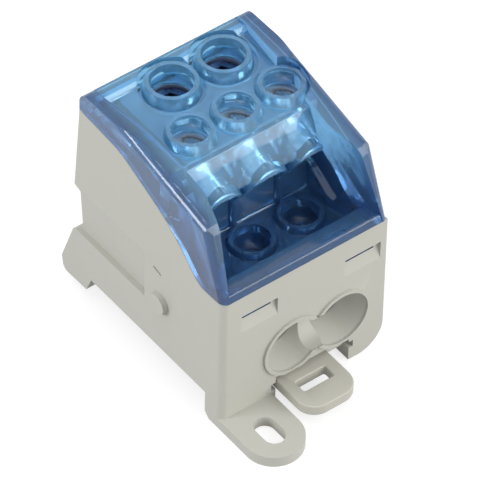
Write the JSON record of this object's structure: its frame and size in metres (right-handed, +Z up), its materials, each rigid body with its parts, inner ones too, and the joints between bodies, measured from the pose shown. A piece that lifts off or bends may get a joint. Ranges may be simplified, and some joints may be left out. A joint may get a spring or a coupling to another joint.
{
  "type": "distribution block",
  "caption": "Rail-mounted distribution block with a clamp terminal body, a clear clip-on cover with tool sleeves, a mounting ear and a spring rail latch.",
  "frame": {"origin": "middle of the bounding box's bottom face", "axes": "+X along the rail, towards the side with the socket; +Y away from the mounting ear; +Z up, away from the rail"},
  "size_m": [0.0398, 0.0646, 0.0542],
  "materials": {
    "housing": "fine matte light grey moulding",
    "latch": "fine matte light grey moulding",
    "cover": "clear blue, glossy",
    "terminal": "satin tin plating",
    "screws": "bright plating"
  },
  "bodies": {
    "base": {"housing": "housing", "terminal_body": "terminal"},
    "cover": {"cover": "cover"},
    "latch": {"rail_latch": "latch"},
    "main_screw_1": {"main_screw_1": "screws"},
    "main_screw_2": {"main_screw_2": "screws"},
    "upper_screw_1": {"upper_screw_1": "screws"},
    "upper_screw_2": {"upper_screw_2": "screws"},
    "upper_screw_3": {"upper_screw_3": "screws"},
    "lower_screw_1": {"lower_screw_1": "screws"},
    "lower_screw_2": {"lower_screw_2": "screws"}
  },
  "joints": [
    {"name": "cover_lift", "type": "slide", "parent": "base", "child": "cover", "axis": [0, 0, 1], "range_m": [0, 0.03]},
    {"name": "latch_slide", "type": "slide", "parent": "base", "child": "latch", "axis": [0, -1, 0], "range_m": [0, 0.0032], "stiffness_N_per_m": 600, "springref_m": -0.002},
    {"name": "main_screw_1_turn", "type": "hinge", "parent": "base", "child": "main_screw_1", "pos_m": [-0.00292, 0.01885, 0.0481], "axis": [0, 0, -1], "range_deg": [0, 1690]},
    {"name": "main_screw_2_turn", "type": "hinge", "parent": "base", "child": "main_screw_2", "pos_m": [0.00912, 0.01885, 0.0481], "axis": [0, 0, -1], "range_deg": [0, 1690]},
    {"name": "upper_screw_1_turn", "type": "hinge", "parent": "base", "child": "upper_screw_1", "pos_m": [-0.0075, 0.00705, 0.0481], "axis": [0, 0, -1], "range_deg": [0, 1310]},
    {"name": "upper_screw_2_turn", "type": "hinge", "parent": "base", "child": "upper_screw_2", "pos_m": [0.0031, 0.00705, 0.0481], "axis": [0, 0, -1], "range_deg": [0, 1310]},
    {"name": "upper_screw_3_turn", "type": "hinge", "parent": "base", "child": "upper_screw_3", "pos_m": [0.0137, 0.00705, 0.0481], "axis": [0, 0, -1], "range_deg": [0, 1310]},
    {"name": "lower_screw_1_turn", "type": "hinge", "parent": "base", "child": "lower_screw_1", "pos_m": [-0.0019, -0.00495, 0.0231], "axis": [0, 0, -1], "range_deg": [0, 1310]},
    {"name": "lower_screw_2_turn", "type": "hinge", "parent": "base", "child": "lower_screw_2", "pos_m": [0.0095, -0.00495, 0.0231], "axis": [0, 0, -1], "range_deg": [0, 1310]}
  ]
}
